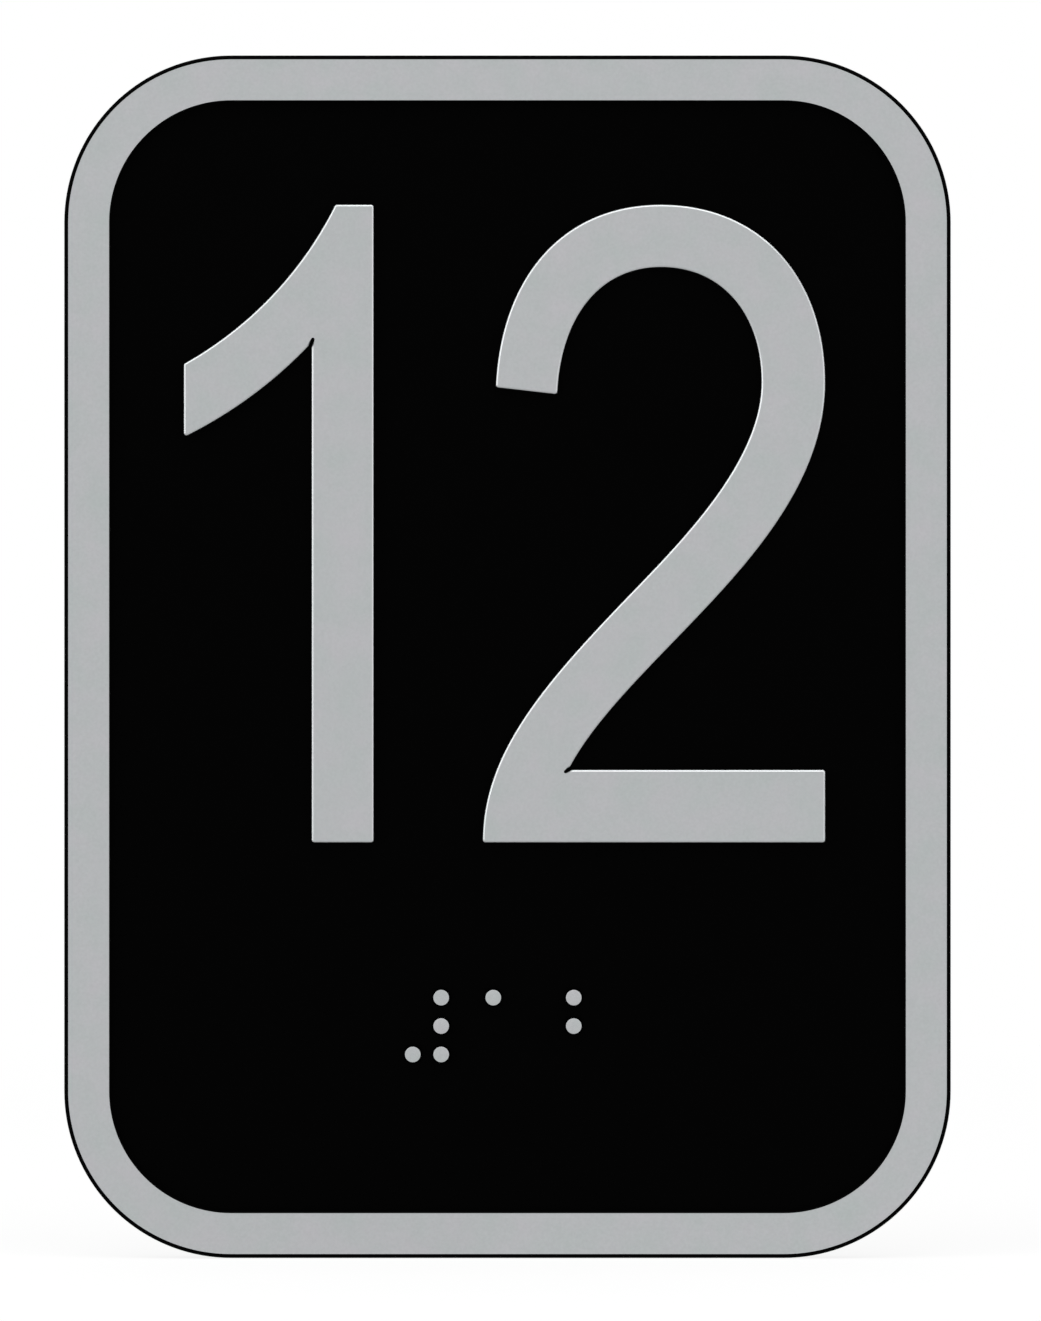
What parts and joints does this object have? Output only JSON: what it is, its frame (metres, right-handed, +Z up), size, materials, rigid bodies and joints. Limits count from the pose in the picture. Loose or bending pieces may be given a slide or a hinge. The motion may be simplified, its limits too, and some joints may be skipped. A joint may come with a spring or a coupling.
{
  "type": "elevator floor number sign",
  "caption": "Upright metal plate with rounded corners, a raised rim, raised floor numerals and braille dots on a sunk black field, bonded flat to an elevator door jamb.",
  "frame": {"origin": "centre of the flat back face, which is bonded to the jamb", "axes": "+X to the reader's right, +Z up, -Y out of the front towards the reader"},
  "size_m": [0.075, 0.0032, 0.1016],
  "materials": {
    "plate_metal": "satin bare metal on the rim, the numerals, the dot crowns and the back; satin black coating on the sunk field, the walls and the outer edge"
  },
  "bodies": {
    "root": {"floor_number_plate": "plate_metal"}
  },
  "joints": []
}
